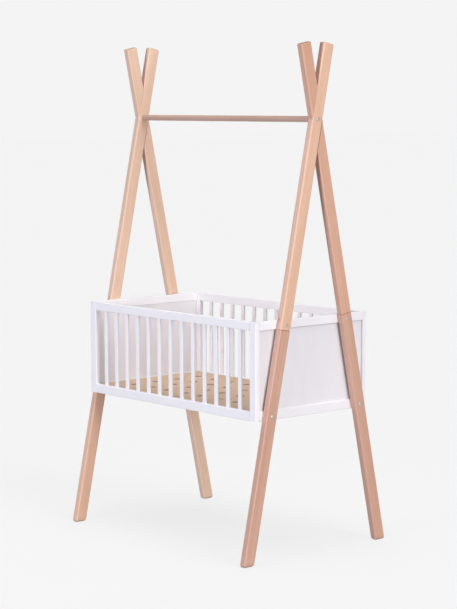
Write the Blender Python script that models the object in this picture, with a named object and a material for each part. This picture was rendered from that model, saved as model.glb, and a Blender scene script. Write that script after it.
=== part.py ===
"""Bassinet on a stand: a slatted basket carried between two crossed pairs of legs.

+X runs along the basket's length, the front long side faces -Y and +Z is up. The origin is on
the floor, under the middle of the basket. The right frame of legs stands at +X and the left
frame at -X. The left frame is the right frame turned half a turn about Z.
"""

import math

import bmesh
import bpy
from mathutils import Matrix, Vector

# The gap that neighbouring pieces keep, how far a cutter reaches past what it cuts, and how far
# a tenon or a ledge is sunk into its rail, so that the two become one piece.
GAP = 0.0003
OVERSHOOT = 0.01
ROOT_DEPTH = 0.006

# Basket: outer size and the heights of its rim and underside.
BASKET_LENGTH = 0.970
BASKET_WIDTH = 0.550
RIM_HEIGHT = 0.870
BASKET_BOTTOM = 0.513

# Long sides and end rails.
FRAME_THICKNESS = 0.018
STILE_WIDTH = 0.034
TOP_RAIL_HEIGHT = 0.032
BOTTOM_RAIL_HEIGHT = 0.034
ARRIS = 0.0025

# Slats of the long sides.
SLATS_PER_SIDE = 13
SLAT_PITCH = 0.0655
SLAT_WIDTH = 0.017
SLAT_THICKNESS = 0.0085
SLAT_SETBACK = 0.003
SLAT_ARRIS = 0.0015
SLAT_SOCKET = 0.008

# Tenons that join the rails to the stiles.
SIDE_TENON = (0.018, 0.008, 0.018)
END_TENON = (0.008, 0.011, 0.018)

# End panels, set back from the outer faces of their rails.
PANEL_SETBACK = 0.008
PANEL_THICKNESS = 0.006
PANEL_GROOVE = 0.005

# Base board on the ledges of the bottom rails.
BASE_TOP = 0.546
BASE_THICKNESS = 0.005
LEDGE_WIDTH = 0.015
VENT_DIAMETER = 0.034
VENT_COLUMNS = 8
VENT_ROWS = 4
VENT_PITCH_X = 0.100
VENT_PITCH_Y = 0.106
VENT_SIDES = 16

# Legs, crossed and half-lapped.
LEG_THICKNESS = 0.027
LEG_WIDTH = 0.048
LEG_ROUNDING = 0.005
LEG_CORNER_STEPS = 4
CROSSING_HEIGHT = 1.583
LEG_TOP_HEIGHT = 1.854
LEG_SPREAD = 0.209
SPLICE_HALF_LENGTH = 0.020

# Hanging rail between the crossings.
HANGING_RAIL_DIAMETER = 0.022
HANGING_RAIL_SIDES = 24

# Furniture bolts.
BOLT_DIAMETER = 0.006
BOLT_HEAD_DIAMETER = 0.014
BOLT_HEAD_HEIGHT = 0.0025
BOLT_HEAD_CHAMFER = 0.0008
BOLT_SIDES = 16
BOLT_REACH_IN_RAIL = 0.012
CROSSING_BOLT_REACH = 0.030

# Edges sharper than this stay crisp on round pieces.
SHARP_ANGLE = math.radians(35)

# Sizes that follow from those above.
HALF_LENGTH = BASKET_LENGTH / 2
HALF_WIDTH = BASKET_WIDTH / 2
INNER_HALF_LENGTH = HALF_LENGTH - FRAME_THICKNESS
INNER_HALF_WIDTH = HALF_WIDTH - FRAME_THICKNESS
RAIL_HALF_LENGTH = HALF_LENGTH - STILE_WIDTH
TOP_RAIL_BOTTOM = RIM_HEIGHT - TOP_RAIL_HEIGHT
BOTTOM_RAIL_TOP = BASKET_BOTTOM + BOTTOM_RAIL_HEIGHT
TOP_RAIL_MIDDLE = RIM_HEIGHT - TOP_RAIL_HEIGHT / 2
BOTTOM_RAIL_MIDDLE = BASKET_BOTTOM + BOTTOM_RAIL_HEIGHT / 2
PANEL_MIDDLE_X = HALF_LENGTH - PANEL_SETBACK - PANEL_THICKNESS / 2
SLAT_MIDDLE_Y = HALF_WIDTH - SLAT_SETBACK - SLAT_THICKNESS / 2
LEG_MIDDLE_X = HALF_LENGTH + GAP + LEG_THICKNESS / 2
LEG_ANGLE = math.atan(LEG_SPREAD)
LEG_TIP = (LEG_TOP_HEIGHT - CROSSING_HEIGHT) / math.cos(LEG_ANGLE)
LEG_FOOT = -CROSSING_HEIGHT / math.cos(LEG_ANGLE) - LEG_WIDTH


def clear_scene():
    for obj in list(bpy.data.objects):
        bpy.data.objects.remove(obj, do_unlink=True)


def make_material(name, colour, roughness, metallic=0.0):
    material = bpy.data.materials.new(name)
    material.use_nodes = True
    shader = material.node_tree.nodes["Principled BSDF"]
    shader.inputs["Base Color"].default_value = (*colour, 1.0)
    shader.inputs["Roughness"].default_value = roughness
    shader.inputs["Metallic"].default_value = metallic
    material.diffuse_color = (*colour, 1.0)
    return material


def mesh_object(name, bm, material=None):
    bmesh.ops.recalc_face_normals(bm, faces=bm.faces)
    mesh = bpy.data.meshes.new(name)
    bm.to_mesh(mesh)
    bm.free()
    obj = bpy.data.objects.new(name, mesh)
    bpy.context.scene.collection.objects.link(obj)
    if material:
        mesh.materials.append(material)
    return obj


def add_box(bm, low, high):
    low = Vector(low)
    size = Vector(high) - low
    place = Matrix.Translation(low + size / 2) @ Matrix.Diagonal((*size, 1.0))
    bmesh.ops.create_cube(bm, size=1.0, matrix=place)


def add_cylinder(bm, centre, axis, diameter, length, sides):
    """A cylinder along `axis`, with its middle at `centre`."""
    turn = Vector((0, 0, 1)).rotation_difference(Vector(axis)).to_matrix().to_4x4()
    bmesh.ops.create_cone(
        bm,
        cap_ends=True,
        segments=sides,
        radius1=diameter / 2,
        radius2=diameter / 2,
        depth=length,
        matrix=Matrix.Translation(centre) @ turn,
    )


def bar(name, low, high, material, arris=ARRIS, segments=2):
    """A straight piece of timber with its arrises rounded."""
    bm = bmesh.new()
    add_box(bm, low, high)
    obj = mesh_object(name, bm, material)
    rounding = obj.modifiers.new("arris", "BEVEL")
    rounding.width = arris
    rounding.segments = segments
    rounding.limit_method = "ANGLE"
    return obj


def hide_helper(obj):
    obj.hide_render = True
    obj.display_type = "WIRE"
    return obj


def box_helper(name, boxes):
    bm = bmesh.new()
    for low, high in boxes:
        add_box(bm, low, high)
    return hide_helper(mesh_object(name, bm))


def combine(obj, helper, operation):
    boolean = obj.modifiers.new(helper.name, "BOOLEAN")
    boolean.object = helper
    boolean.operation = operation
    boolean.solver = "EXACT"


def shade_round(obj):
    obj.data.shade_smooth()
    obj.data.set_sharp_from_angle(angle=SHARP_ANGLE)


def ordered_box(first, second):
    """The lowest and highest corners of the box between two opposite corners."""
    low = tuple(min(pair) for pair in zip(first, second))
    high = tuple(max(pair) for pair in zip(first, second))
    return low, high


def tenon_box(face, direction, axis, across, middle, tenon, slack=0.0):
    """A tenon, or with `slack` its mortise, that leaves `face` along `axis` (0 or 1)."""
    depth, thickness, height = (tenon[axis], tenon[1 - axis], tenon[2])
    near = face - direction * (ROOT_DEPTH if slack == 0 else OVERSHOOT)
    far = face + direction * (depth - GAP if slack == 0 else depth + slack)
    low = [0.0, 0.0, middle - height / 2 - slack]
    high = [0.0, 0.0, middle + height / 2 + slack]
    low[axis], high[axis] = near, far
    low[1 - axis] = across - thickness / 2 - slack
    high[1 - axis] = across + thickness / 2 + slack
    return ordered_box(low, high)


def side_tenons(y_middle, z_middle, slack=0.0):
    return [
        tenon_box(end * RAIL_HALF_LENGTH, end, 0, y_middle, z_middle, SIDE_TENON, slack)
        for end in (-1, 1)
    ]


def end_tenons(x_middle, z_middle, slack=0.0):
    return [
        tenon_box(side * INNER_HALF_WIDTH, side, 1, x_middle, z_middle, END_TENON, slack)
        for side in (-1, 1)
    ]


def slat_positions():
    first = -(SLATS_PER_SIDE - 1) / 2 * SLAT_PITCH
    return [first + index * SLAT_PITCH for index in range(SLATS_PER_SIDE)]


def slat_sockets(side):
    """One socket for each slat's top end and one for its bottom end."""
    y = side * SLAT_MIDDLE_Y
    half_width = SLAT_WIDTH / 2 + GAP
    half_depth = SLAT_THICKNESS / 2 + GAP
    boxes = []
    for x in slat_positions():
        for low_z, high_z in (
            (BOTTOM_RAIL_TOP - SLAT_SOCKET - GAP, BOTTOM_RAIL_TOP + OVERSHOOT),
            (TOP_RAIL_BOTTOM - OVERSHOOT, TOP_RAIL_BOTTOM + SLAT_SOCKET + GAP),
        ):
            low = (x - half_width, y - half_depth, low_z)
            high = (x + half_width, y + half_depth, high_z)
            boxes.append((low, high))
    return boxes


def ledge_box(side):
    y_root = side * (INNER_HALF_WIDTH + ROOT_DEPTH)
    y_lip = side * (INNER_HALF_WIDTH - LEDGE_WIDTH)
    board_underside = BASE_TOP - BASE_THICKNESS
    return ordered_box(
        (-RAIL_HALF_LENGTH + GAP, y_root, BASKET_BOTTOM),
        (RAIL_HALF_LENGTH - GAP, y_lip, board_underside - GAP),
    )


def make_side(name, side, paint):
    """One long side: two rails tenoned into two stiles, and the slats between the rails."""
    y_middle = side * (HALF_WIDTH - FRAME_THICKNESS / 2)
    y_outer = side * HALF_WIDTH
    y_inner = side * INNER_HALF_WIDTH
    sockets = box_helper(f"{name}_slat_socket_cutter", slat_sockets(side))
    for rail, low_z, high_z in (
        ("top_rail", TOP_RAIL_BOTTOM, RIM_HEIGHT),
        ("bottom_rail", BASKET_BOTTOM, BOTTOM_RAIL_TOP),
    ):
        low, high = ordered_box(
            (-RAIL_HALF_LENGTH + GAP, y_outer, low_z),
            (RAIL_HALF_LENGTH - GAP, y_inner, high_z),
        )
        obj = bar(f"{name}_{rail}", low, high, paint)
        middle = (low_z + high_z) / 2
        tenons = box_helper(f"{name}_{rail}_tenons", side_tenons(y_middle, middle))
        combine(obj, tenons, "UNION")
        if rail == "bottom_rail":
            ledge = box_helper(f"{name}_ledge", [ledge_box(side)])
            combine(obj, ledge, "UNION")
        combine(obj, sockets, "DIFFERENCE")
    for end_name, end in (("left", -1), ("right", 1)):
        make_stile(f"{name}_{end_name}_stile", side, end, paint)
    for index, x in enumerate(slat_positions(), start=1):
        low = (x - SLAT_WIDTH / 2, side * SLAT_MIDDLE_Y - SLAT_THICKNESS / 2)
        high = (x + SLAT_WIDTH / 2, side * SLAT_MIDDLE_Y + SLAT_THICKNESS / 2)
        bar(
            f"{name}_slat_{index:02d}",
            (*low, BOTTOM_RAIL_TOP - SLAT_SOCKET),
            (*high, TOP_RAIL_BOTTOM + SLAT_SOCKET),
            paint,
            SLAT_ARRIS,
            1,
        )


def make_stile(name, side, end, paint):
    """A corner upright, with mortises for the rails of both panels and a groove for the infill."""
    low, high = ordered_box(
        (end * RAIL_HALF_LENGTH, side * HALF_WIDTH, BASKET_BOTTOM),
        (end * HALF_LENGTH, side * INNER_HALF_WIDTH, RIM_HEIGHT),
    )
    obj = bar(name, low, high, paint)
    y_middle = side * (HALF_WIDTH - FRAME_THICKNESS / 2)
    x_middle = end * (HALF_LENGTH - FRAME_THICKNESS / 2)
    cuts = []
    for z_middle in (TOP_RAIL_MIDDLE, BOTTOM_RAIL_MIDDLE):
        cuts.append(
            tenon_box(end * RAIL_HALF_LENGTH, end, 0, y_middle, z_middle, SIDE_TENON, GAP)
        )
        cuts.append(
            tenon_box(side * INNER_HALF_WIDTH, side, 1, x_middle, z_middle, END_TENON, GAP)
        )
    half_groove = PANEL_THICKNESS / 2 + GAP
    cuts.append(
        ordered_box(
            (
                end * PANEL_MIDDLE_X - half_groove,
                side * (INNER_HALF_WIDTH - OVERSHOOT),
                BOTTOM_RAIL_TOP + GAP,
            ),
            (
                end * PANEL_MIDDLE_X + half_groove,
                side * (INNER_HALF_WIDTH + PANEL_GROOVE + GAP),
                TOP_RAIL_BOTTOM - GAP,
            ),
        )
    )
    combine(obj, box_helper(f"{name}_cutter", cuts), "DIFFERENCE")


def leg_y(side, z):
    """Where the middle of the leg that stands on `side` is at height z."""
    return side * LEG_SPREAD * (CROSSING_HEIGHT - z)


def bolt_positions():
    """Where the legs of one frame are bolted to the basket: (leg, rail, y, z)."""
    places = []
    for leg, side in (("front_leg", -1), ("back_leg", 1)):
        for rail, z in (("upper", TOP_RAIL_MIDDLE), ("lower", BOTTOM_RAIL_MIDDLE)):
            places.append((leg, rail, leg_y(side, z), z))
    return places


def hole_helper(name, places, end, x_from, x_to):
    """Bolt holes along X at each (y, z), between two distances from the middle."""
    bm = bmesh.new()
    for y, z in places:
        centre = (end * (x_from + x_to) / 2, y, z)
        length = abs(x_to - x_from)
        add_cylinder(bm, centre, (1, 0, 0), BOLT_DIAMETER + 2 * GAP, length, BOLT_SIDES)
    return hide_helper(mesh_object(name, bm))


def make_end(name, end, paint, panel_paint):
    """One short end: two rails between the stiles, grooved for a thin infill panel."""
    x_outer = end * HALF_LENGTH
    x_inner = end * INNER_HALF_LENGTH
    x_middle = (x_outer + x_inner) / 2
    half_groove = PANEL_THICKNESS / 2 + GAP
    groove = box_helper(
        f"{name}_groove_cutter",
        [
            (
                (end * PANEL_MIDDLE_X - half_groove, -HALF_WIDTH, low_z),
                (end * PANEL_MIDDLE_X + half_groove, HALF_WIDTH, high_z),
            )
            for low_z, high_z in (
                (BOTTOM_RAIL_TOP - PANEL_GROOVE - GAP, BOTTOM_RAIL_TOP + OVERSHOOT),
                (TOP_RAIL_BOTTOM - OVERSHOOT, TOP_RAIL_BOTTOM + PANEL_GROOVE + GAP),
            )
        ],
    )
    holes = hole_helper(
        f"{name}_bolt_hole_cutter",
        [(y, z) for _, _, y, z in bolt_positions()],
        end,
        HALF_LENGTH - BOLT_REACH_IN_RAIL - 2 * GAP,
        HALF_LENGTH + OVERSHOOT,
    )
    for rail, low_z, high_z in (
        ("top_rail", TOP_RAIL_BOTTOM, RIM_HEIGHT),
        ("bottom_rail", BASKET_BOTTOM, BOTTOM_RAIL_TOP),
    ):
        low, high = ordered_box(
            (x_outer, -INNER_HALF_WIDTH + GAP, low_z),
            (x_inner, INNER_HALF_WIDTH - GAP, high_z),
        )
        obj = bar(f"{name}_{rail}", low, high, paint)
        middle = (low_z + high_z) / 2
        tenons = box_helper(f"{name}_{rail}_tenons", end_tenons(x_middle, middle))
        combine(obj, tenons, "UNION")
        combine(obj, groove, "DIFFERENCE")
        combine(obj, holes, "DIFFERENCE")
    bm = bmesh.new()
    half_panel = INNER_HALF_WIDTH + PANEL_GROOVE
    add_box(
        bm,
        (
            end * PANEL_MIDDLE_X - PANEL_THICKNESS / 2,
            -half_panel,
            BOTTOM_RAIL_TOP - PANEL_GROOVE,
        ),
        (
            end * PANEL_MIDDLE_X + PANEL_THICKNESS / 2,
            half_panel,
            TOP_RAIL_BOTTOM + PANEL_GROOVE,
        ),
    )
    panel = mesh_object(f"{name}_panel", bm, panel_paint)
    corners = box_helper(
        f"{name}_panel_corner_cutter",
        [
            ordered_box(
                (
                    end * (PANEL_MIDDLE_X - PANEL_THICKNESS),
                    side * (INNER_HALF_WIDTH - 2 * GAP),
                    edge_z,
                ),
                (
                    end * (PANEL_MIDDLE_X + PANEL_THICKNESS),
                    side * (half_panel + OVERSHOOT),
                    edge_z + way * 2 * PANEL_GROOVE,
                ),
            )
            for side in (-1, 1)
            for edge_z, way in (
                (BOTTOM_RAIL_TOP + 2 * GAP, -1),
                (TOP_RAIL_BOTTOM - 2 * GAP, 1),
            )
        ],
    )
    combine(panel, corners, "DIFFERENCE")


def make_base_board(bare_board):
    """The mattress base, with a grid of ventilation holes."""
    half_x = INNER_HALF_LENGTH - 2 * GAP
    half_y = INNER_HALF_WIDTH - 2 * GAP
    bm = bmesh.new()
    add_box(bm, (-half_x, -half_y, BASE_TOP - BASE_THICKNESS), (half_x, half_y, BASE_TOP))
    board = mesh_object("base_board", bm, bare_board)
    bm = bmesh.new()
    for column in range(VENT_COLUMNS):
        for row in range(VENT_ROWS):
            x = (column - (VENT_COLUMNS - 1) / 2) * VENT_PITCH_X
            y = (row - (VENT_ROWS - 1) / 2) * VENT_PITCH_Y
            centre = (x, y, BASE_TOP - BASE_THICKNESS / 2)
            depth = BASE_THICKNESS + 2 * OVERSHOOT
            add_cylinder(bm, centre, (0, 0, 1), VENT_DIAMETER, depth, VENT_SIDES)
    vents = hide_helper(mesh_object("base_board_vent_cutter", bm))
    combine(board, vents, "DIFFERENCE")


def leg_outline():
    """The leg's section: a rectangle with round corners, as (x, y) points."""
    points = []
    for turn, (sign_x, sign_y) in enumerate(((1, 1), (-1, 1), (-1, -1), (1, -1))):
        centre_x = sign_x * (LEG_THICKNESS / 2 - LEG_ROUNDING)
        centre_y = sign_y * (LEG_WIDTH / 2 - LEG_ROUNDING)
        for step in range(LEG_CORNER_STEPS + 1):
            angle = (turn + step / LEG_CORNER_STEPS) * math.pi / 2
            x = centre_x + LEG_ROUNDING * math.cos(angle)
            y = centre_y + LEG_ROUNDING * math.sin(angle)
            points.append((x, y))
    return points


def leg_blank(name, bottom, top, place, wood):
    """A length of leg between two distances along its axis, measured up from the crossing."""
    bm = bmesh.new()
    section = bm.faces.new([bm.verts.new((x, y, bottom)) for x, y in leg_outline()])
    grown = bmesh.ops.extrude_face_region(bm, geom=[section])
    tip = [item for item in grown["geom"] if isinstance(item, bmesh.types.BMVert)]
    bmesh.ops.translate(bm, verts=tip, vec=(0, 0, top - bottom))
    obj = mesh_object(name, bm, wood)
    obj.matrix_world = place
    shade_round(obj)
    return obj


def leg_box(name, low, high, place):
    obj = box_helper(name, [ordered_box(low, high)])
    obj.matrix_world = place
    return obj


def make_leg(name, end, side, outer_half, wood):
    """One leg in two lengths, spliced behind the top bolt and half-lapped at the crossing.

    `end` is the frame, `side` the side that the foot stands on, and `outer_half` is 1 where the
    leg keeps the half of its thickness that faces away from the basket at the crossing.
    """
    crossing = Matrix.Translation((end * LEG_MIDDLE_X, 0, CROSSING_HEIGHT))
    place = crossing @ Matrix.Rotation(side * LEG_ANGLE, 4, "X")
    other_leg_place = crossing @ Matrix.Rotation(-side * LEG_ANGLE, 4, "X")
    splice = -(CROSSING_HEIGHT - TOP_RAIL_MIDDLE) / math.cos(LEG_ANGLE)
    outward = end * outer_half
    reach = LEG_THICKNESS
    half_gap = GAP / 2
    wide = LEG_WIDTH / 2 + OVERSHOOT

    # The upper length keeps its outward half below the bolt, the lower one its inward half above.
    upper_end = splice - SPLICE_HALF_LENGTH
    lower_end = splice + SPLICE_HALF_LENGTH
    upper = leg_blank(f"{name}_upper", upper_end + half_gap, LEG_TIP, place, wood)
    lower = leg_blank(f"{name}_lower", LEG_FOOT, lower_end - half_gap, place, wood)
    upper_step = leg_box(
        f"{name}_upper_splice_cutter",
        (-outward * reach, -wide, upper_end - OVERSHOOT),
        (outward * half_gap, wide, lower_end + half_gap),
        place,
    )
    lower_step = leg_box(
        f"{name}_lower_splice_cutter",
        (outward * reach, -wide, upper_end - half_gap),
        (-outward * half_gap, wide, lower_end + OVERSHOOT),
        place,
    )
    combine(upper, upper_step, "DIFFERENCE")
    combine(lower, lower_step, "DIFFERENCE")

    # At the crossing each leg loses one half of its thickness over the other leg's width.
    lap_reach = LEG_WIDTH / math.sin(LEG_ANGLE)
    lap = leg_box(
        f"{name}_crossing_cutter",
        (-outward * reach, -LEG_WIDTH / 2 - GAP, -lap_reach),
        (outward * half_gap, LEG_WIDTH / 2 + GAP, lap_reach),
        other_leg_place,
    )
    combine(upper, lap, "DIFFERENCE")

    # The foot is cut level with the floor.
    below = ((-BASKET_LENGTH, -BASKET_WIDTH, -2 * LEG_WIDTH), (BASKET_LENGTH, BASKET_WIDTH, 0.0))
    combine(lower, box_helper(f"{name}_floor_cutter", [below]), "DIFFERENCE")

    # Both lengths share the bolt at the splice.
    at_crossing = (0.0, CROSSING_HEIGHT)
    at_top_rail = (leg_y(side, TOP_RAIL_MIDDLE), TOP_RAIL_MIDDLE)
    at_bottom_rail = (leg_y(side, BOTTOM_RAIL_MIDDLE), BOTTOM_RAIL_MIDDLE)
    x_from = HALF_LENGTH - OVERSHOOT
    x_to = HALF_LENGTH + LEG_THICKNESS + OVERSHOOT
    for piece, places in (
        (upper, (at_crossing, at_top_rail)),
        (lower, (at_top_rail, at_bottom_rail)),
    ):
        holes = hole_helper(f"{piece.name}_bolt_hole_cutter", places, end, x_from, x_to)
        combine(piece, holes, "DIFFERENCE")


def make_bolt(name, end, y, z, reach, steel):
    """A furniture bolt with a low head on the leg's outer face, pointing towards the basket."""
    face = HALF_LENGTH + 2 * GAP + LEG_THICKNESS
    tip = HALF_LENGTH - reach
    body = BOLT_HEAD_HEIGHT - BOLT_HEAD_CHAMFER
    bm = bmesh.new()
    add_cylinder(
        bm,
        (end * (face + body / 2), y, z),
        (end, 0, 0),
        BOLT_HEAD_DIAMETER,
        body,
        BOLT_SIDES,
    )
    cap = max(bm.faces, key=lambda face: end * face.calc_center_median().x)
    rim = bmesh.ops.extrude_face_region(bm, geom=[cap])
    crown = [item for item in rim["geom"] if isinstance(item, bmesh.types.BMVert)]
    shrink = 1 - 2 * BOLT_HEAD_CHAMFER / BOLT_HEAD_DIAMETER
    bmesh.ops.translate(bm, verts=crown, vec=(end * BOLT_HEAD_CHAMFER, 0, 0))
    bmesh.ops.scale(
        bm,
        verts=crown,
        vec=(1, shrink, shrink),
        space=Matrix.Translation((0, -y, -z)),
    )
    bmesh.ops.delete(bm, geom=[cap], context="FACES_ONLY")
    head = mesh_object(name, bm, steel)

    root = face + body / 2
    middle = (end * (tip + root) / 2, y, z)
    bm = bmesh.new()
    add_cylinder(bm, middle, (1, 0, 0), BOLT_DIAMETER, root - tip, BOLT_SIDES)
    shank = hide_helper(mesh_object(f"{name}_shank", bm))
    combine(head, shank, "UNION")
    shade_round(head)


def make_hanging_rail(wood):
    """The round rail that joins the two crossings, with a pilot hole in each end."""
    bm = bmesh.new()
    add_cylinder(
        bm,
        (0, 0, CROSSING_HEIGHT),
        (1, 0, 0),
        HANGING_RAIL_DIAMETER,
        BASKET_LENGTH,
        HANGING_RAIL_SIDES,
    )
    rail = mesh_object("hanging_rail", bm, wood)
    shade_round(rail)
    for name, end in (("left", -1), ("right", 1)):
        pilot = hole_helper(
            f"hanging_rail_{name}_hole_cutter",
            [(0.0, CROSSING_HEIGHT)],
            end,
            HALF_LENGTH - CROSSING_BOLT_REACH - 2 * GAP,
            HALF_LENGTH + OVERSHOOT,
        )
        combine(rail, pilot, "DIFFERENCE")


def main():
    clear_scene()
    paint = make_material("white paint", (0.80, 0.79, 0.83), 0.45)
    panel_paint = make_material("white panel paint", (0.76, 0.75, 0.79), 0.5)
    bare_board = make_material("bare board", (0.60, 0.44, 0.30), 0.8)
    beech = make_material("oiled beech", (0.62, 0.39, 0.24), 0.55)
    steel = make_material("plated steel", (0.62, 0.60, 0.58), 0.35, 1.0)

    make_side("front_side", -1, paint)
    make_side("back_side", 1, paint)
    for name, end in (("left", -1), ("right", 1)):
        make_end(f"{name}_end", end, paint, panel_paint)
        # The left frame is the right one turned half a turn, so its outer leg is the back one.
        make_leg(f"{name}_frame_front_leg", end, -1, end, beech)
        make_leg(f"{name}_frame_back_leg", end, 1, -end, beech)
        for leg, rail, y, z in bolt_positions():
            bolt = f"{name}_frame_{leg}_{rail}_bolt"
            make_bolt(bolt, end, y, z, BOLT_REACH_IN_RAIL, steel)
        crossing_bolt = f"{name}_frame_crossing_bolt"
        make_bolt(crossing_bolt, end, 0.0, CROSSING_HEIGHT, CROSSING_BOLT_REACH, steel)
    make_base_board(bare_board)
    make_hanging_rail(beech)


main()
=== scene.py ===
"""Looks for the bassinet on its stand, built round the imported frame.

Each piece stands for one CAD node and is made where that node lies. Timber is lofted along its
own local Z, so its fibres run that way, and it carries two attributes that its material reads:
"grain", a point's place in the tree in metres, with the pith at zero and the fibres along the
third coordinate, and "fibre", the direction of the fibres in the row frame.
"""

import math
import random

import bmesh
import bpy
from mathutils import Matrix, Quaternion, Vector


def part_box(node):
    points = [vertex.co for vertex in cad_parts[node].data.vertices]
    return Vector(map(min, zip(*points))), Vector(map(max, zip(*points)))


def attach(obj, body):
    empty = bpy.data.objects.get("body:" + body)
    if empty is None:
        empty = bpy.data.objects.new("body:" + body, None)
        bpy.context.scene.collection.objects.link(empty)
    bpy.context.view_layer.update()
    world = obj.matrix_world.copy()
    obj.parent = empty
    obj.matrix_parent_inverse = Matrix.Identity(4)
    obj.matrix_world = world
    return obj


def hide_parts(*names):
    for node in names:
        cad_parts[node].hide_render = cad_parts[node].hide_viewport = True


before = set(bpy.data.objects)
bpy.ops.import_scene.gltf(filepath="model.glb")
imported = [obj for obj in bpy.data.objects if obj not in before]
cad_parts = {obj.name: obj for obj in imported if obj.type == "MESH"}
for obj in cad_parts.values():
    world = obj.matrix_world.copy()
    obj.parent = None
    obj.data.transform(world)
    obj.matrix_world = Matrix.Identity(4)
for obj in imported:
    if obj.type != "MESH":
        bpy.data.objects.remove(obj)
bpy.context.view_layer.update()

# Fits and roundings, in metres.
SEAM = 0.0003
HAIRLINE = 0.00015
ARRIS = 0.0025
SLAT_ARRIS = 0.0020
END_ARRIS = 0.0006
ARC_STEPS = 5
SHARP_ANGLE = math.radians(40)

# Legs. Their width can't be read from a box, because they lean.
LEG_WIDTH = 0.048
LEG_ARRIS = 0.005
FOOT_ROUNDING = 0.012
TIP_ROUNDING = 0.0035
SEAM_CHAMFER = 0.0013
SPLICE_HALF_LENGTH = 0.020

# Basket details.
LEDGE_WIDTH = 0.015
LEDGE_ROOT = 0.006
VENT_DIAMETER = 0.034
VENT_COLUMNS = 8
VENT_ROWS = 4
VENT_PITCH_X = 0.100
VENT_PITCH_Y = 0.106
VENT_CHAMFER = 0.0007

# Bolts.
SHANK_RADIUS = 0.003
SHANK_TIP = 0.75
SOCKET_APOTHEM = 0.002
SOCKET_FLOOR = 0.96
SOCKET_MOUTH = 1.35
SOCKET_DEPTH = 0.0016
SOCKET_EASE = 0.0002
HEAD_RIM = 0.3
HEAD_EASE = 0.0001

# How many sides a turned shape has, and the hanging rail's end rounding.
BORE_SIDES = 24
BOLT_SIDES = 36
VENT_SIDES = 40
RAIL_SIDES = 48
RAIL_END_ARRIS = 0.0012

# Where each log was cut: the distance from the pith, and how far along the tree.
PITH_NEAR = 0.05
PITH_FAR = 0.14
TREE_LENGTH = 5.0
lumber = random.Random(11)

# Turns that lay a piece's local Z along the row's X or Y, or leave it upright.
CYCLE_X = Matrix(((0, 0, 1, 0), (1, 0, 0, 0), (0, 1, 0, 0), (0, 0, 0, 1)))
CYCLE_Y = Matrix(((0, 1, 0, 0), (0, 0, 1, 0), (1, 0, 0, 0), (0, 0, 0, 1)))
CYCLE_Z = Matrix.Identity(4)


# Measures from the frame


def middle(node):
    low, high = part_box(node)
    return (low + high) / 2


crossing = middle("right_frame_crossing_bolt")
low_bolt = middle("right_frame_front_leg_lower_bolt")
top_bolt = middle("right_frame_front_leg_upper_bolt")
LEAN = math.atan2(abs(low_bolt.y), crossing.z - low_bolt.z)
SPLICE = -(crossing.z - top_bolt.z) / math.cos(LEAN)


# Mesh building


def outline(size_x, size_y, radius, inset=0.0, middle_x=0.0):
    """A rectangle with round corners as (x, y) points, anticlockwise.

    It starts at the middle of the +Y side, and its point half-way round is the middle of the -Y
    side. `middle_x` moves those two sideways, for a lap joint that keeps a gap.
    """
    half_x = size_x / 2 - inset
    half_y = size_y / 2 - inset
    radius = max(radius - inset, END_ARRIS / 2)
    points = [(middle_x, half_y)]
    for turn, (way_x, way_y) in enumerate(((-1, 1), (-1, -1), (1, -1), (1, 1)), start=1):
        if turn == 3:
            points.append((middle_x, -half_y))
        for step in range(ARC_STEPS + 1):
            angle = (turn + step / ARC_STEPS) * math.pi / 2
            x = way_x * (half_x - radius) + radius * math.cos(angle)
            y = way_y * (half_y - radius) + radius * math.sin(angle)
            points.append((x, y))
    return points


def circle(radius, sides, inset=0.0):
    turns = [2 * math.pi * step / sides for step in range(sides)]
    return [((radius - inset) * math.cos(t), (radius - inset) * math.sin(t)) for t in turns]


def add_ring(bm, points, z):
    return [bm.verts.new((x, y, z)) for x, y in points]


def skin(bm, rings, closed=True):
    """Quads between neighbouring rings, all of one length."""
    for first, second in zip(rings, rings[1:]):
        count = len(first)
        for i in range(count if closed else count - 1):
            j = (i + 1) % count
            bm.faces.new((first[i], first[j], second[j], second[i]))


def rounding(radius, steps=ARC_STEPS):
    """(inset, rise) pairs for a rounded end, from its face to its side."""
    turns = [math.pi / 2 * step / steps for step in range(steps + 1)]
    return [(radius * (1 - math.sin(t)), radius * (1 - math.cos(t))) for t in turns]


def round_end_rings(bm, section, z_end, inward, radius, steps=ARC_STEPS):
    """Rings from an end face at `z_end` to its side, where `inward` is the way into the piece."""
    return [
        add_ring(bm, section(inset), z_end + inward * rise)
        for inset, rise in rounding(radius, steps)
    ]


def loft_bar(section, z_low, z_high, end_radius, steps=2):
    """A closed bar between two heights, with its end edges rounded."""
    bm = bmesh.new()
    rings = round_end_rings(bm, section, z_low, 1, end_radius, steps)
    rings += reversed(round_end_rings(bm, section, z_high, -1, end_radius, steps))
    skin(bm, rings)
    bm.faces.new(reversed(rings[0]))
    bm.faces.new(rings[-1])
    return bm


def new_object(name, bm, place=CYCLE_Z):
    """Turns `bm` into an object at `place`, with its faces outward and smooth."""
    bmesh.ops.recalc_face_normals(bm, faces=bm.faces)
    mesh = bpy.data.meshes.new(name)
    bm.to_mesh(mesh)
    bm.free()
    mesh.shade_smooth()
    obj = bpy.data.objects.new(name, mesh)
    bpy.context.scene.collection.objects.link(obj)
    obj.matrix_world = place
    return obj


def box_cutter(boxes, place=CYCLE_Z):
    """A hidden helper made of plain boxes, each given by two opposite corners."""
    bm = bmesh.new()
    for first, second in boxes:
        first, second = Vector(first), Vector(second)
        size = Vector(abs(a - b) for a, b in zip(first, second))
        matrix = Matrix.Translation((first + second) / 2) @ Matrix.Diagonal((*size, 1.0))
        bmesh.ops.create_cube(bm, size=1.0, matrix=matrix)
    return new_object("cutter", bm, place)


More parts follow.
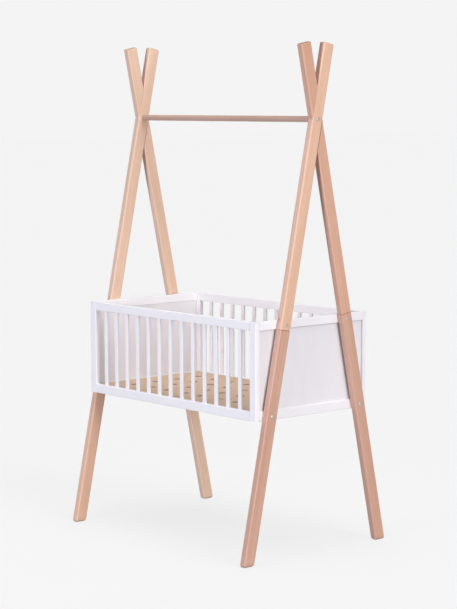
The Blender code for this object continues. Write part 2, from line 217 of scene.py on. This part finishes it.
def bore_cutter(ends, radius):
    """A hidden helper of cylinders along X, each given by x from, x to, y and z."""
    bm = bmesh.new()
    for x_from, x_to, y, z in ends:
        place = Matrix.Translation((0, y, z)) @ CYCLE_X
        rings = []
        for x in sorted((x_from, x_to)):
            ring = add_ring(bm, circle(radius, BORE_SIDES), x)
            bmesh.ops.transform(bm, matrix=place, verts=ring)
            rings.append(ring)
        skin(bm, rings)
        bm.faces.new(reversed(rings[0]))
        bm.faces.new(rings[1])
    return new_object("cutter", bm)


def combine(obj, helpers, operation="DIFFERENCE"):
    """Sets up the cuts, or with UNION the additions, that `bake` then applies."""
    for helper in helpers:
        boolean = obj.modifiers.new("cut", "BOOLEAN")
        boolean.object = helper
        boolean.operation = operation
        boolean.solver = "EXACT"


def set_attribute(mesh, name, values):
    attribute = mesh.attributes.new(name, "FLOAT_VECTOR", "POINT")
    attribute.data.foreach_set("vector", [number for value in values for number in value])


def bake(obj):
    """Applies the object's modifiers to its mesh."""
    graph = bpy.context.evaluated_depsgraph_get()
    mesh = bpy.data.meshes.new_from_object(
        obj.evaluated_get(graph), preserve_all_data_layers=True, depsgraph=graph
    )
    obj.modifiers.clear()
    obj.data = mesh
    mesh.name = obj.name
    return mesh


def finish_piece(obj, node, material, helpers=()):
    """Cuts the piece, evens its shading, gives it its grain and puts it in its node's place.

    The cuts are applied first, so that the edges they make are sharp when the shading is evened.
    """
    combine(obj, helpers)
    bake(obj)
    obj.data.set_sharp_from_angle(angle=SHARP_ANGLE)
    shading = obj.modifiers.new("even_shading", "WEIGHTED_NORMAL")
    shading.keep_sharp = True
    mesh = bake(obj)
    mesh.materials.clear()
    mesh.materials.append(material)
    for helper in helpers:
        bpy.data.objects.remove(helper)

    turn = lumber.uniform(0, 2 * math.pi)
    reach = lumber.uniform(PITH_NEAR, PITH_FAR)
    along = lumber.uniform(-TREE_LENGTH, TREE_LENGTH)
    pith = Vector((reach * math.cos(turn), reach * math.sin(turn), along))
    set_attribute(mesh, "grain", [vertex.co + pith for vertex in mesh.vertices])
    fibre = obj.matrix_world.to_3x3() @ Vector((0, 0, 1))
    set_attribute(mesh, "fibre", [fibre] * len(mesh.vertices))
    mesh.transform(obj.matrix_world.to_3x3().to_4x4())
    obj.matrix_world = Matrix.Translation(obj.matrix_world.translation)

    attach(obj, "root")
    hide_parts(node)


def timber(node, low, high, axis, arris):
    """A bar that fills the box from low to high, with its fibres along `axis` (0, 1 or 2)."""
    low, high = Vector(low), Vector(high)
    place = Matrix.Translation((low + high) / 2) @ (CYCLE_X, CYCLE_Y, CYCLE_Z)[axis]
    size = high - low
    length = size[axis]
    size_x = size[(axis + 1) % 3]
    size_y = size[(axis + 2) % 3]

    def section(inset):
        return outline(size_x, size_y, arris, inset)

    bm = loft_bar(section, -length / 2, length / 2, END_ARRIS)
    return new_object(f"{node}_timber", bm, place)


# Materials


class Graph:
    """A new material's node tree, with short calls for the nodes that the materials share."""

    def __init__(self, name):
        self.material = bpy.data.materials.new(name)
        self.material.use_nodes = True
        self.tree = self.material.node_tree
        self.shader = self.tree.nodes["Principled BSDF"]

    def add(self, kind, inputs=(), **settings):
        """Adds a node. `inputs` maps a socket's name or number to a value or another socket."""
        node = self.tree.nodes.new(kind)
        for name, value in settings.items():
            setattr(node, name, value)
        for name, value in dict(inputs).items():
            self.feed(node.inputs[name], value)
        return node

    def feed(self, socket, value):
        if isinstance(value, bpy.types.NodeSocket):
            self.tree.links.new(value, socket)
        else:
            socket.default_value = value

    def attribute(self, name):
        return self.add("ShaderNodeAttribute", attribute_name=name).outputs["Vector"]

    def stretch(self, vector, scale):
        return self.add("ShaderNodeMapping", {"Vector": vector, "Scale": scale}).outputs[0]

    def noise(self, vector, scale, detail=2.0, roughness=0.5, distortion=0.0):
        inputs = {
            "Vector": vector,
            "Scale": scale,
            "Detail": detail,
            "Roughness": roughness,
            "Distortion": distortion,
        }
        return self.add("ShaderNodeTexNoise", inputs).outputs[0]

    def math(self, operation, first, second=0.0):
        inputs = {0: first, 1: second}
        return self.add("ShaderNodeMath", inputs, operation=operation).outputs[0]

    def remap(self, value, from_low, from_high, to_low, to_high):
        inputs = {0: value, 1: from_low, 2: from_high, 3: to_low, 4: to_high}
        return self.add("ShaderNodeMapRange", inputs, clamp=True).outputs[0]

    def mix(self, factor, first, second, blend="MIX"):
        inputs = {0: factor, 6: first, 7: second}
        node = self.add("ShaderNodeMix", inputs, data_type="RGBA", blend_type=blend)
        return node.outputs[2]

    def worn_edge(self, radius):
        """1 on the arrises and 0 on the flats."""
        rounded = self.add("ShaderNodeBevel", {"Radius": radius}, samples=4).outputs[0]
        normal = self.add("ShaderNodeNewGeometry").outputs["Normal"]
        dot = self.add("ShaderNodeVectorMath", {0: rounded, 1: normal}, operation="DOT_PRODUCT")
        return self.remap(dot.outputs["Value"], 1.0, 0.93, 0.0, 1.0)

    def across(self, direction):
        """1 on faces that look along `direction` or against it, and 0 on those beside it."""
        normal = self.add("ShaderNodeNewGeometry").outputs["Normal"]
        dot = self.add("ShaderNodeVectorMath", {0: normal, 1: direction}, operation="DOT_PRODUCT")
        return self.remap(self.math("ABSOLUTE", dot.outputs["Value"]), 0.4, 0.85, 0.0, 1.0)

    def bump(self, height, distance, strength=1.0, below=None):
        inputs = {"Height": height, "Distance": distance, "Strength": strength}
        if below is not None:
            inputs["Normal"] = below
        return self.add("ShaderNodeBump", inputs).outputs[0]

    def surface(self, **inputs):
        for name, value in inputs.items():
            self.feed(self.shader.inputs[name.replace("_", " ")], value)
        return self.material


# Tint for faces that look along Y: partly the legs' thinner sides cut across the rings, partly
# painted shade for the dimmer, cooler light those faces get.
NARROW_FACE_TINT_AND_SHADE = (0.92, 0.95, 1.05)


def opaque(colour):
    return (*colour, 1.0)


def beech(name, pale, deep):
    """Oiled beech: growth rings, fine fibres, short dark flecks, darker end grain, worn arrises.

    Faces that look along Y, on the legs their thinner sides, are tinted a little rosier and cooler:
    partly their cut across the rings, and partly painted shade for the dimmer, cooler light on
    them.
    """
    g = Graph(name)
    grain = g.attribute("grain")
    slow = g.stretch(grain, (1.0, 1.0, 0.06))
    rings = g.add(
        "ShaderNodeTexWave",
        {"Vector": slow, "Scale": 90.0, "Distortion": 5.0, "Detail": 3.0, "Detail Scale": 0.35},
        wave_type="RINGS",
        rings_direction="Z",
        wave_profile="SIN",
    ).outputs["Fac"]
    late_wood = g.math("POWER", rings, 2.2)
    fibres = g.noise(g.stretch(grain, (1.0, 1.0, 0.012)), 1500.0, 3.0, 0.6)
    streaks = g.noise(g.stretch(grain, (1.0, 1.0, 0.02)), 220.0, 3.0, 0.55)
    drift = g.noise(g.stretch(grain, (1.0, 1.0, 0.12)), 16.0, 2.0)
    fleck_field = g.noise(g.stretch(grain, (0.55, 1.0, 0.16)), 2300.0, 1.0, 0.4)
    flecks = g.remap(fleck_field, 0.63, 0.73, 0.0, 1.0)
    ends = g.across(g.attribute("fibre"))
    edge = g.math("MULTIPLY", g.worn_edge(0.0035), g.remap(streaks, 0.35, 0.65, 0.2, 1.0))

    body = g.mix(g.remap(drift, 0.35, 0.65, 0.0, 1.0), opaque(pale), opaque(deep))
    ringed = g.mix(g.math("MULTIPLY", late_wood, 0.24), body, opaque([c * 0.62 for c in deep]))
    streaked = g.mix(
        g.remap(streaks, 0.35, 0.65, 0.0, 0.5), ringed, opaque([c * 0.82 for c in deep])
    )
    fibred = g.mix(g.remap(fibres, 0.35, 0.7, 0.0, 0.3), streaked, opaque([c * 0.72 for c in deep]))
    flecked = g.mix(g.math("MULTIPLY", flecks, 0.42), fibred, opaque([c * 0.42 for c in deep]))
    # Faces along Y take a rosier, cooler tint: partly their own cut, partly painted shade.
    y_faces_tint_and_shade = g.mix(g.across((0.0, 1.0, 0.0)), opaque((1.0, 1.0, 1.0)), opaque(NARROW_FACE_TINT_AND_SHADE))
    tinted = g.mix(1.0, flecked, y_faces_tint_and_shade, "MULTIPLY")
    worn = g.mix(g.math("MULTIPLY", edge, 0.22), tinted, opaque([min(c * 1.12, 1) for c in pale]))
    colour = g.mix(g.math("MULTIPLY", ends, 0.8), worn, opaque([c * 0.42 for c in deep]))

    gloss = g.remap(g.math("ADD", fibres, g.math("MULTIPLY", ends, 0.6)), 0.3, 1.2, 0.44, 0.72)
    height = g.math("SUBTRACT", fibres, g.math("MULTIPLY", flecks, 0.7))
    fine = g.bump(height, 0.00012, 0.55)
    normal = g.bump(streaks, 0.0004, 0.3, fine)
    return g.surface(Base_Color=colour, Roughness=gloss, Normal=normal, Specular_IOR_Level=0.42)


def painted(name, colour, roughness, show_through):
    """Satin paint over timber: the grain shows through faintly, and the arrises are rubbed."""
    g = Graph(name)
    grain = g.attribute("grain")
    telegraph = g.noise(g.stretch(grain, (1.0, 1.0, 0.02)), 420.0, 3.0, 0.55)
    peel = g.noise(grain, 650.0, 2.0, 0.5)
    dapple = g.noise(g.stretch(grain, (1.0, 1.0, 0.4)), 14.0, 3.0, 0.6)
    specks = g.remap(g.noise(grain, 1900.0, 1.0, 0.3), 0.74, 0.80, 0.0, 1.0)
    edge = g.math("MULTIPLY", g.worn_edge(0.002), g.remap(dapple, 0.35, 0.7, 0.15, 1.0))

    shade = [c * f for c, f in zip(colour, (0.965, 0.965, 0.972))]
    mottled = g.mix(g.remap(dapple, 0.3, 0.7, 0.0, 1.0), opaque(colour), opaque(shade))
    lines = g.remap(telegraph, 0.5, 0.75, 0.0, show_through)
    lined = g.mix(lines, mottled, opaque([c * 0.93 for c in colour]))
    specked = g.mix(g.math("MULTIPLY", specks, 0.25), lined, opaque([c * 0.80 for c in colour]))
    rubbed = [c * f for c, f in zip(colour, (0.97, 0.93, 0.86))]
    final = g.mix(g.math("MULTIPLY", edge, 0.45), specked, opaque(rubbed))

    gloss = g.remap(dapple, 0.3, 0.7, roughness - 0.05, roughness + 0.07)
    under = g.bump(telegraph, 0.0002, show_through)
    normal = g.bump(peel, 0.00012, 0.35, under)
    return g.surface(Base_Color=final, Roughness=gloss, Normal=normal, Specular_IOR_Level=0.5)


def fibreboard(name, colour):
    """Unfinished board: pressed fibres and pale and dark specks. The edges cut by the saw and the
    hole walls are much darker, partly their own colour and partly painted shade in the holes.
    """
    g = Graph(name)
    grain = g.attribute("grain")
    cloud = g.noise(grain, 22.0, 4.0, 0.6)
    pressed = g.noise(g.stretch(grain, (1.0, 0.35, 1.0)), 900.0, 4.0, 0.65, 0.6)
    specks = g.remap(g.noise(grain, 1500.0, 1.0, 0.3), 0.66, 0.74, 0.0, 1.0)
    pale_specks = g.remap(g.noise(grain, 1100.0, 1.0, 0.3), 0.68, 0.76, 0.0, 1.0)
    face = g.across((0.0, 0.0, 1.0))

    body = g.mix(
        g.remap(cloud, 0.3, 0.7, 0.0, 1.0), opaque(colour), opaque([c * 0.88 for c in colour])
    )
    fibred = g.mix(g.remap(pressed, 0.4, 0.7, 0.0, 0.5), body, opaque([c * 0.74 for c in colour]))
    dark = g.mix(g.math("MULTIPLY", specks, 0.5), fibred, opaque([c * 0.45 for c in colour]))
    pale = g.mix(
        g.math("MULTIPLY", pale_specks, 0.4), dark, opaque([min(c * 1.25, 1) for c in colour])
    )
    # Faces that don't look up or down are darkened: partly the cut fibres' own colour, partly
    # painted shade on the hole walls.
    sawn_and_shaded = g.mix(0.55, pale, opaque([c * 0.38 for c in colour]))
    final = g.mix(face, sawn_and_shaded, pale)

    normal = g.bump(pressed, 0.0003, 0.5)
    gloss = g.remap(pressed, 0.3, 0.7, 0.72, 0.9)
    return g.surface(Base_Color=final, Roughness=gloss, Normal=normal, Specular_IOR_Level=0.3)


def plated(name, colour):
    """Zinc-plated steel with fine turning marks and a little grime."""
    g = Graph(name)
    grain = g.attribute("grain")
    cloud = g.noise(grain, 420.0, 3.0, 0.6)
    marks = g.noise(g.stretch(grain, (1.0, 1.0, 6.0)), 2200.0, 2.0, 0.6)
    body = g.mix(
        g.remap(cloud, 0.35, 0.7, 0.0, 1.0), opaque(colour), opaque([c * 0.74 for c in colour])
    )
    edge = g.math("MULTIPLY", g.worn_edge(0.0006), 0.5)
    final = g.mix(edge, body, opaque([min(c * 1.25, 1) for c in colour]))
    gloss = g.remap(cloud, 0.3, 0.7, 0.28, 0.45)
    normal = g.bump(marks, 0.00006, 0.4)
    return g.surface(Base_Color=final, Roughness=gloss, Normal=normal, Metallic=1.0)


honey_beech = beech("honey_beech", (0.850, 0.565, 0.410), (0.780, 0.472, 0.327))
amber_beech = beech("amber_beech", (0.745, 0.455, 0.330), (0.683, 0.385, 0.268))
# A paler copy for the far frame: painted light for the stronger light on that frame.
pale_painted_light_beech = beech("pale_painted_light_beech", (0.860, 0.620, 0.470), (0.790, 0.530, 0.385))
# A rosier, darker copy for the lower lengths: partly their own boards, partly painted shade for the
# light falling off towards the floor.
rosy_and_shaded_beech = beech("rosy_and_shaded_beech", (0.683, 0.423, 0.319), (0.614, 0.349, 0.250))
dowel_beech = beech("dowel_beech", (0.660, 0.450, 0.345), (0.575, 0.365, 0.275))
white_paint = painted("white_paint", (0.865, 0.855, 0.890), 0.40, 0.20)
panel_paint = painted("panel_paint", (0.790, 0.780, 0.815), 0.52, 0.07)
bare_board = fibreboard("bare_board", (0.605, 0.440, 0.320))
zinc = plated("zinc_plate", (0.62, 0.58, 0.53))


# Basket


def side_boxes(side):
    """The low and high corners between which the rails and slats of a long side fit."""
    left_low, left_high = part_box(f"{side}_left_stile")
    right_low, right_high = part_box(f"{side}_right_stile")
    return (
        Vector((left_high.x + HAIRLINE, left_low.y, left_low.z)),
        Vector((right_low.x - HAIRLINE, right_high.y, right_high.z)),
    )


def slat_sockets(side):
    """One cutter box for each slat, a hairline wider than the slat."""
    slack = Vector((HAIRLINE, HAIRLINE, HAIRLINE))
    slats = [node for node in sorted(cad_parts) if node.startswith(f"{side}_slat_")]
    return [(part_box(node)[0] - slack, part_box(node)[1] + slack) for node in slats]


def panel_slot(end):
    """The cutter box that gives the infill panel its groove in rails and stiles."""
    slack = Vector((HAIRLINE, HAIRLINE, HAIRLINE))
    low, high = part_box(f"{end}_end_panel")
    return (low - slack, high + slack)


def ledge(side, low, high):
    """Opposite corners of the ledge along a bottom rail, which carries the base board."""
    inner = low.y if side == "back_side" else high.y
    inward = -1 if side == "back_side" else 1
    board_low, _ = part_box("base_board")
    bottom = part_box(f"{side}_bottom_rail")[0].z
    return (
        (low.x + SEAM, inner - inward * LEDGE_ROOT, bottom),
        (high.x - SEAM, inner + inward * LEDGE_WIDTH, board_low.z - SEAM),
    )


def make_long_side(side):
    low, high = side_boxes(side)
    for rail in ("top_rail", "bottom_rail"):
        node = f"{side}_{rail}"
        rail_low, rail_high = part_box(node)
        corners = ((low.x, low.y, rail_low.z), (high.x, high.y, rail_high.z))
        obj = timber(node, *corners, 0, ARRIS)
        if rail == "bottom_rail":
            support = box_cutter([ledge(side, low, high)])
            combine(obj, [support], "UNION")
            bake(obj)
            bpy.data.objects.remove(support)
        finish_piece(obj, node, white_paint, [box_cutter(slat_sockets(side))])
    for end in ("left", "right"):
        node = f"{side}_{end}_stile"
        obj = timber(node, *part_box(node), 2, ARRIS)
        finish_piece(obj, node, white_paint, [box_cutter([panel_slot(end)])])
    for node in sorted(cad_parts):
        if node.startswith(f"{side}_slat_"):
            obj = timber(node, *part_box(node), 2, SLAT_ARRIS)
            finish_piece(obj, node, white_paint)


def make_short_end(end):
    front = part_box(f"front_side_{end}_stile")
    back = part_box(f"back_side_{end}_stile")
    bores = leg_bores(end)
    for rail in ("top_rail", "bottom_rail"):
        node = f"{end}_end_{rail}"
        low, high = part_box(node)
        corners = (
            (low.x, front[1].y + HAIRLINE, low.z),
            (high.x, back[0].y - HAIRLINE, high.z),
        )
        obj = timber(node, *corners, 1, ARRIS)
        cutters = [box_cutter([panel_slot(end)]), bore_cutter(bores, SHANK_RADIUS + SEAM)]
        finish_piece(obj, node, white_paint, cutters)
    node = f"{end}_end_panel"
    obj = timber(node, *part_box(node), 2, END_ARRIS)
    finish_piece(obj, node, panel_paint)


def make_base_board():
    """The drilled board, with each hole's rim eased."""
    low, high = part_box("base_board")
    obj = timber("base_board", low, high, 0, END_ARRIS)
    top = (high.z - low.z) / 2
    radius = VENT_DIAMETER / 2
    profile = (
        (top + VENT_CHAMFER, radius + 2 * VENT_CHAMFER),
        (top - VENT_CHAMFER, radius),
        (VENT_CHAMFER - top, radius),
        (-VENT_CHAMFER - top, radius + 2 * VENT_CHAMFER),
    )
    bm = bmesh.new()
    for column in range(VENT_COLUMNS):
        for row in range(VENT_ROWS):
            x = (column - (VENT_COLUMNS - 1) / 2) * VENT_PITCH_X
            y = (row - (VENT_ROWS - 1) / 2) * VENT_PITCH_Y
            rings = [add_ring(bm, circle(reach, VENT_SIDES), z) for z, reach in profile]
            bmesh.ops.translate(bm, verts=sum(rings, []), vec=(x, y, (low.z + high.z) / 2))
            skin(bm, rings)
            bm.faces.new(rings[0])
            bm.faces.new(reversed(rings[-1]))
    finish_piece(obj, "base_board", bare_board, [new_object("cutter", bm)])


# Stand


def leg_bores(end):
    """Bolt bores through one frame's legs and into the basket, as (x from, x to, y, z)."""
    bores = []
    for node in sorted(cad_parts):
        if node.startswith(f"{end}_frame_") and node.endswith("_bolt"):
            low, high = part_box(node)
            bores.append((low.x - SEAM, high.x + SEAM, middle(node).y, middle(node).z))
    return bores


def leg_section(thickness, keep):
    """A leg's outline, with its middle points half a seam off centre, on the `keep` side of X."""

    def section(inset):
        return outline(thickness, LEG_WIDTH, LEG_ARRIS, inset, keep * SEAM / 2)

    return section


def foot_rings(bm, section, place):
    """Rings for a foot that is cut level with the floor, with its lower edge well rounded."""
    rings = []
    down = place.inverted()
    axis = place.to_3x3() @ Vector((0, 0, 1))
    for inset, rise in rounding(FOOT_ROUNDING):
        ring = []
        for x, y in section(inset):
            side = place @ Vector((x, y, 0))
            ring.append(bm.verts.new(down @ (side + axis * ((rise - side.z) / axis.z))))
        rings.append(ring)
    return rings


def tongue_end(bm, rings, section, shoulder, tip, keep):
    """Ends a length of leg in a half-lap: a shoulder, and a tongue on the `keep` side of X.

    `rings` lead up to the joint. Both the shoulder and the tongue's tip have eased edges, which
    make the fine groove seen round the joint.
    """
    way = 1 if tip > shoulder else -1
    count = len(rings[0])
    half = count // 2
    low_side = list(range(half + 1))
    high_side = [*range(half, count), 0]
    tongue, stub = (high_side, low_side) if keep > 0 else (low_side, high_side)
    full = add_ring(bm, section(0.0), shoulder - way * SEAM_CHAMFER)
    skin(bm, [*rings, full])

    eased = section(SEAM_CHAMFER)
    plain = section(0.0)
    stub_ring = [bm.verts.new((*eased[i], shoulder)) for i in stub]
    side_ring = [bm.verts.new((*plain[i], tip - way * SEAM_CHAMFER)) for i in tongue]
    tip_ring = [bm.verts.new((*eased[i], tip)) for i in tongue]
    skin(bm, [[full[i] for i in stub], stub_ring], closed=False)
    skin(bm, [[full[i] for i in tongue], side_ring, tip_ring], closed=False)
    bm.faces.new(stub_ring)
    bm.faces.new(tip_ring)
    cheek = [
        full[tongue[0]],
        side_ring[0],
        tip_ring[0],
        tip_ring[-1],
        side_ring[-1],
        full[tongue[-1]],
        stub_ring[0],
        stub_ring[-1],
    ]
    bm.faces.new(cheek)


def timber_of(node):
    """The beech for each of the eight lengths of leg. The near frame's back upper length is a
    darker amber board. The lower lengths are rosier and darker: partly their own boards, partly
    painted shade for the light falling off towards the floor. The far frame's lengths are paler,
    painted light for the stronger light on them. Its front lower length takes the upper lengths'
    colour, painted light that offsets a shadow cast on it by the near frame's front leg.
    """
    # Painted light: this length takes the upper lengths' lighter colour to offset a shadow cast on
    # it by the near frame's front leg.
    if node == "left_frame_front_leg_lower":
        return honey_beech
    # Painted light: the far frame's lengths are paler for the stronger light on them.
    if node.startswith("left_frame_"):
        return pale_painted_light_beech
    if node == "right_frame_back_leg_upper":
        return amber_beech
    # Lower lengths are rosier and darker: partly their own boards, partly painted shade towards the
    # floor.
    return rosy_and_shaded_beech if node.endswith("_lower") else honey_beech


def make_leg(end, leg, side, keep):
    """Both lengths of one leg, in a local frame with Z up the leg from the crossing.

    `keep` is the side of X that the upper length keeps in both its laps.
    """
    name = f"{end}_frame_{leg}"
    low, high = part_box(f"{name}_lower")
    thickness = high.x - low.x
    origin = Matrix.Translation(((low.x + high.x) / 2, 0, crossing.z))
    place = origin @ Matrix.Rotation(side * LEAN, 4, "X")
    other_place = origin @ Matrix.Rotation(-side * LEAN, 4, "X")
    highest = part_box(f"{name}_upper")[1].z
    tip = (highest - crossing.z - LEG_WIDTH / 2 * math.sin(LEAN)) / math.cos(LEAN)
    joint_low = SPLICE - SPLICE_HALF_LENGTH
    joint_high = SPLICE + SPLICE_HALF_LENGTH
    bores = leg_bores(end)

    bm = bmesh.new()
    section = leg_section(thickness, keep)
    rings = round_end_rings(bm, section, tip, -1, TIP_ROUNDING)
    bm.faces.new(rings[0])
    tongue_end(bm, rings, section, joint_high + SEAM / 2, joint_low + SEAM / 2, keep)
    upper = new_object(f"{name}_upper_timber", bm, place)
    reach = LEG_WIDTH / math.sin(LEAN)
    half_width = LEG_WIDTH / 2 + HAIRLINE
    lap = (
        (-keep * thickness, -half_width, -reach),
        (keep * SEAM / 2, half_width, reach),
    )
    cutters = [box_cutter([lap], other_place), bore_cutter(bores, SHANK_RADIUS + SEAM)]
    finish_piece(upper, f"{name}_upper", timber_of(f"{name}_upper"), cutters)

    bm = bmesh.new()
    section = leg_section(thickness, -keep)
    rings = foot_rings(bm, section, place)
    bm.faces.new(rings[0])
    tongue_end(bm, rings, section, joint_low - SEAM / 2, joint_high - SEAM / 2, -keep)
    lower = new_object(f"{name}_lower_timber", bm, place)
    cutters = [bore_cutter(bores, SHANK_RADIUS + SEAM)]
    finish_piece(lower, f"{name}_lower", timber_of(f"{name}_lower"), cutters)


def hexagon(apothem, sides):
    """Points on a hexagon, at the same turns as a circle's."""
    points = []
    for step in range(sides):
        turn = 2 * math.pi * step / sides
        radius = apothem / math.cos(turn % (math.pi / 3) - math.pi / 6)
        points.append((radius * math.cos(turn), radius * math.sin(turn)))
    return points


def make_bolt(node, way, head_face):
    """A button-head bolt with a hexagon socket. Its head stands out along X, on the leg's face."""
    low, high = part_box(node)
    head_radius = (high.y - low.y) / 2
    outer, tip = (high.x, low.x) if way > 0 else (low.x, high.x)
    height = abs(outer - head_face)
    rim = height * HEAD_RIM
    mouth = SOCKET_APOTHEM * SOCKET_MOUTH
    length = abs(tip - head_face)
    floor = height - SOCKET_DEPTH

    sections = [
        (hexagon(SOCKET_APOTHEM * SOCKET_FLOOR, BOLT_SIDES), floor),
        (hexagon(SOCKET_APOTHEM, BOLT_SIDES), height - SOCKET_EASE),
        (circle(mouth, BOLT_SIDES), height),
    ]
    for step in range(1, ARC_STEPS + 2):
        turn = math.pi / 2 * step / (ARC_STEPS + 1)
        radius = mouth + (head_radius - mouth) * math.sin(turn)
        sections.append((circle(radius, BOLT_SIDES), rim + (height - rim) * math.cos(turn)))
    sections += [
        (circle(head_radius, BOLT_SIDES), HEAD_EASE),
        (circle(head_radius - HEAD_EASE, BOLT_SIDES), 0.0),
        (circle(SHANK_RADIUS, BOLT_SIDES), 0.0),
        (circle(SHANK_RADIUS, BOLT_SIDES), SHANK_RADIUS / 4 - length),
        (circle(SHANK_RADIUS * SHANK_TIP, BOLT_SIDES), -length),
    ]

    bm = bmesh.new()
    rings = [add_ring(bm, points, z) for points, z in sections]
    skin(bm, rings)
    bm.faces.new(rings[0])
    bm.faces.new(rings[-1])
    facing = CYCLE_X if way > 0 else Matrix.Rotation(math.pi, 4, "Z") @ CYCLE_X
    spot = middle(node)
    place = Matrix.Translation((head_face, spot.y, spot.z)) @ facing
    finish_piece(new_object(f"{node}_steel", bm, place), node, zinc)


def make_hanging_rail():
    low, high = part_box("hanging_rail")
    radius = (high.z - low.z) / 2
    half = (high.x - low.x) / 2

    def section(inset):
        return circle(radius, RAIL_SIDES, inset)

    bm = loft_bar(section, -half, half, RAIL_END_ARRIS, 3)
    place = Matrix.Translation((low + high) / 2) @ CYCLE_X
    obj = new_object("hanging_rail_timber", bm, place)
    bores = [bore for end in ("left", "right") for bore in leg_bores(end)]
    at_axis = [bore for bore in bores if abs(bore[3] - crossing.z) < radius]
    cutters = [bore_cutter(at_axis, SHANK_RADIUS + SEAM)]
    finish_piece(obj, "hanging_rail", dowel_beech, cutters)


def make_stand():
    for end, way in (("left", -1), ("right", 1)):
        make_leg(end, "front_leg", -1, 1)
        make_leg(end, "back_leg", 1, -1)
        low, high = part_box(f"{end}_frame_front_leg_lower")
        face = high.x if way > 0 else low.x
        for node in sorted(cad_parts):
            if node.startswith(f"{end}_frame_") and node.endswith("_bolt"):
                make_bolt(node, way, face + way * HAIRLINE)
    make_hanging_rail()


# Studio


BACKDROP = (0.905, 0.905, 0.905)
FLOOR_GLOW = (0.757, 0.757, 0.757)
FLOOR_ALBEDO = (0.13, 0.13, 0.13)
COOL_LIGHT = (0.97, 0.98, 1.05)
WARM_LIGHT = (1.0, 0.97, 0.955)
NEUTRAL_LIGHT = (1.0, 0.99, 0.98)


def make_camera():
    """Eye height a little above the hanging rail's middle, a good seven metres away."""
    data = bpy.data.cameras.new("camera")
    data.lens = 113.15
    data.clip_end = 200.0
    camera = bpy.data.objects.new("camera", data)
    bpy.context.scene.collection.objects.link(camera)
    azimuth = math.radians(49.03)
    elevation = math.radians(6.14)
    camera.location = (5.491, -4.749, 1.657)
    back = Vector(
        (
            math.sin(azimuth) * math.cos(elevation),
            -math.cos(azimuth) * math.cos(elevation),
            math.sin(elevation),
        )
    )
    camera.rotation_mode = "QUATERNION"
    aim = (-back).to_track_quat("-Z", "Y")
    camera.rotation_quaternion = aim @ Quaternion((0, 0, 1), math.radians(-0.15))
    bpy.context.scene.camera = camera


def add_sun(name, azimuth, elevation, strength, colour, spread):
    """A broad soft light from far away, seen from the object at this azimuth and elevation."""
    data = bpy.data.lights.new(name, "SUN")
    data.energy = strength
    data.color = colour
    data.angle = math.radians(spread)
    light = bpy.data.objects.new(name, data)
    bpy.context.scene.collection.objects.link(light)
    a, e = math.radians(azimuth), math.radians(elevation)
    towards = Vector((math.sin(a) * math.cos(e), -math.cos(a) * math.cos(e), math.sin(e)))
    light.rotation_mode = "QUATERNION"
    light.rotation_quaternion = towards.to_track_quat("Z", "Y")
    return light


def add_softbox(name, place, target, size, glow, colour):
    """A square panel of light near the object. `glow` is what a white face would show at 1 m."""
    data = bpy.data.lights.new(name, "AREA")
    data.size = size
    data.color = colour
    data.energy = glow * 4 * math.pi
    light = bpy.data.objects.new(name, data)
    bpy.context.scene.collection.objects.link(light)
    light.location = place
    light.rotation_mode = "QUATERNION"
    light.rotation_quaternion = (Vector(place) - Vector(target)).to_track_quat("Z", "Y")


def make_world(backdrop, from_above, from_below):
    """A pale backdrop for the camera. The object gets dimmer light, most of it from below."""
    world = bpy.data.worlds.new("studio")
    bpy.context.scene.world = world
    world.use_nodes = True
    tree = world.node_tree
    tree.nodes.clear()
    output = tree.nodes.new("ShaderNodeOutputWorld")
    seen = tree.nodes.new("ShaderNodeBackground")
    seen.inputs["Color"].default_value = opaque(backdrop)
    around = tree.nodes.new("ShaderNodeBackground")
    place = tree.nodes.new("ShaderNodeTexCoord")
    split = tree.nodes.new("ShaderNodeSeparateXYZ")
    ramp = tree.nodes.new("ShaderNodeValToRGB")
    ramp.color_ramp.elements[0].color = opaque(from_below)
    ramp.color_ramp.elements[0].position = 0.35
    ramp.color_ramp.elements[1].color = opaque(from_above)
    ramp.color_ramp.elements[1].position = 0.65
    height = tree.nodes.new("ShaderNodeMapRange")
    height.inputs["From Min"].default_value = -1.0
    tree.links.new(place.outputs["Generated"], split.inputs[0])
    tree.links.new(split.outputs["Z"], height.inputs["Value"])
    tree.links.new(height.outputs[0], ramp.inputs[0])
    tree.links.new(ramp.outputs[0], around.inputs["Color"])
    path = tree.nodes.new("ShaderNodeLightPath")
    choose = tree.nodes.new("ShaderNodeMixShader")
    tree.links.new(path.outputs["Is Camera Ray"], choose.inputs[0])
    tree.links.new(around.outputs[0], choose.inputs[1])
    tree.links.new(seen.outputs[0], choose.inputs[2])
    tree.links.new(choose.outputs[0], output.inputs["Surface"])


def make_floor(glow, albedo):
    """A wide pale floor that is partly lit from within, so that shadows on it stay faint."""
    bm = bmesh.new()
    bmesh.ops.create_grid(bm, x_segments=4, y_segments=4, size=60.0)
    floor = new_object("floor", bm)
    floor.location.z = -0.0005
    floor.visible_diffuse = False
    g = Graph("pale_floor")
    g.surface(
        Base_Color=opaque(albedo),
        Roughness=0.9,
        Emission_Color=opaque(glow),
        Emission_Strength=1.0,
        Specular_IOR_Level=0.0,
    )
    floor.data.materials.append(g.material)


def make_studio():
    """Soft light from the front, the right and above, and weaker light from behind."""
    bpy.context.scene.view_settings.view_transform = "Standard"
    make_camera()
    make_world(BACKDROP, (0.12, 0.12, 0.13), (0.42, 0.42, 0.44))
    make_floor(FLOOR_GLOW, FLOOR_ALBEDO)
    add_softbox("front_softbox", (1.6, -8.0, 2.1), (0.0, 0.0, 1.0), 1.2, 29.8, COOL_LIGHT)
    add_sun("right_low_softbox", 87, 6, 1.0, WARM_LIGHT, 16)
    add_sun("right_high_softbox", 90, 34, 1.3, WARM_LIGHT, 30)
    add_sun("overhead", 40, 84, 1.95, NEUTRAL_LIGHT, 45)
    back = add_sun("back_softbox", 225, 5, 2.3, NEUTRAL_LIGHT, 40)
    # Seen in glossy faces at a flat angle, it would put a hard sheen on the rim.
    back.visible_glossy = False


make_long_side("front_side")
make_long_side("back_side")
make_short_end("left")
make_short_end("right")
make_base_board()
make_stand()
make_studio()
